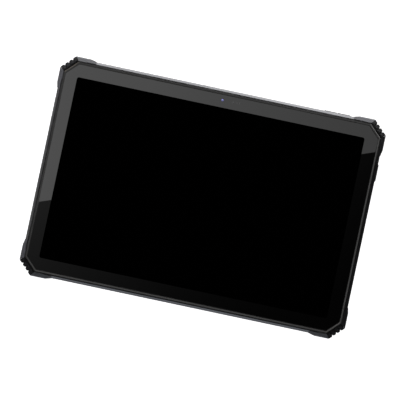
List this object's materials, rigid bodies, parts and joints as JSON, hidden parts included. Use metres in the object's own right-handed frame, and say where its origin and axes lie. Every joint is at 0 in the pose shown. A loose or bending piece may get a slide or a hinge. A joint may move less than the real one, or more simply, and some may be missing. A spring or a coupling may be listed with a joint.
{
  "type": "rugged tablet data collector",
  "caption": "Rugged tablet data collector: a flush cover glass in a chamfered frame, ribbed rubber corner bumpers, edge keys, sealed port doors and a screwed battery cover.",
  "frame": {"origin": "centre of the plane that the four corner bumpers rest on, with the tablet on its back", "axes": "+X to the right of the screen along its length, +Y up the screen, +Z out of the screen"},
  "size_m": [0.2468, 0.1664, 0.016],
  "materials": {
    "housing": "fine moulded grain, satin",
    "front_frame": "fine moulded grain, satin, lit bevel",
    "bumper": "moulded elastomer, matt",
    "grip_pad": "soft ribbed rubber, matt",
    "cover_glass": "black-printed cover glass, polished",
    "display": "unlit display, black",
    "key_plastic": "satin",
    "silicone": "matt moulded silicone",
    "magnesium": "cast and chromated, satin",
    "steel": "black-oxide and bright steel, satin",
    "gold_contact": "gold-plated, bright",
    "board": "solder mask, satin",
    "copper": "copper foil, satin",
    "antenna_ceramic": "fired ceramic, matt",
    "battery_wrap": "shrink film, satin",
    "lens": "coated lens, polished",
    "diffuser": "translucent white, glossy"
  },
  "bodies": {
    "tablet": {"rear_cover": "housing", "battery_cover": "housing", "front_frame": "front_frame", "housing_seal": "silicone", "midframe": "magnesium", "cover_glass": "cover_glass", "touch_sensor": "display", "lcd_panel": "display", "backlight": "diffuser", "key_board": "board", "io_door_pin": "steel", "card_door_pin": "steel", "usb_socket": "steel", "card_reader": "steel", "dock_connector": "key_plastic", "dock_contacts": "gold_contact", "main_board": "board", "processor_shield": "steel", "modem_shield": "steel", "heat_spreader": "copper", "battery_pack": "battery_wrap", "gnss_antenna": "antenna_ceramic", "wifi_antenna": "copper", "mobile_antenna": "copper", "front_camera": "lens", "indicator_board": "board", "rear_camera": "key_plastic", "flash_module": "diffuser", "camera_trim": "key_plastic", "camera_window": "lens", "flash_lens": "diffuser", "speaker_left": "key_plastic", "speaker_right": "key_plastic", "vibration_motor": "steel", "bumper_top_left": "bumper", "grip_pad_top_left": "grip_pad", "bumper_top_right": "bumper", "grip_pad_top_right": "grip_pad", "bumper_bottom_left": "bumper", "grip_pad_bottom_left": "grip_pad", "bumper_bottom_right": "bumper", "grip_pad_bottom_right": "grip_pad", "housing_screw_1": "steel", "housing_screw_2": "steel", "housing_screw_3": "steel", "housing_screw_4": "steel", "housing_screw_5": "steel", "housing_screw_6": "steel", "housing_screw_7": "steel", "housing_screw_8": "steel", "battery_screw_1": "steel", "battery_screw_2": "steel", "battery_screw_3": "steel", "battery_screw_4": "steel"},
    "power_key": {"power_button": "key_plastic"},
    "volume_key": {"volume_rocker": "key_plastic"},
    "io_door": {"io_door": "silicone"},
    "card_door": {"card_door": "silicone"}
  },
  "joints": [
    {"name": "power_press", "type": "slide", "parent": "tablet", "child": "power_key", "axis": [0, -1, 0], "range_m": [0, 0.0004], "stiffness_N_per_m": 4000},
    {"name": "volume_rock", "type": "hinge", "parent": "tablet", "child": "volume_key", "pos_m": [0.08995, 0.0799, 0.0075], "axis": [0, 0, 1], "range_deg": [-4.5, 4.5], "stiffness_Nm_per_rad": 0.09},
    {"name": "io_door_hinge", "type": "hinge", "parent": "tablet", "child": "io_door", "pos_m": [0.12145, 0.0516, 0.008], "axis": [0, 0, 1], "range_deg": [0, 100]},
    {"name": "card_door_hinge", "type": "hinge", "parent": "tablet", "child": "card_door", "pos_m": [-0.12145, 0.0516, 0.008], "axis": [0, 0, -1], "range_deg": [0, 100]}
  ]
}
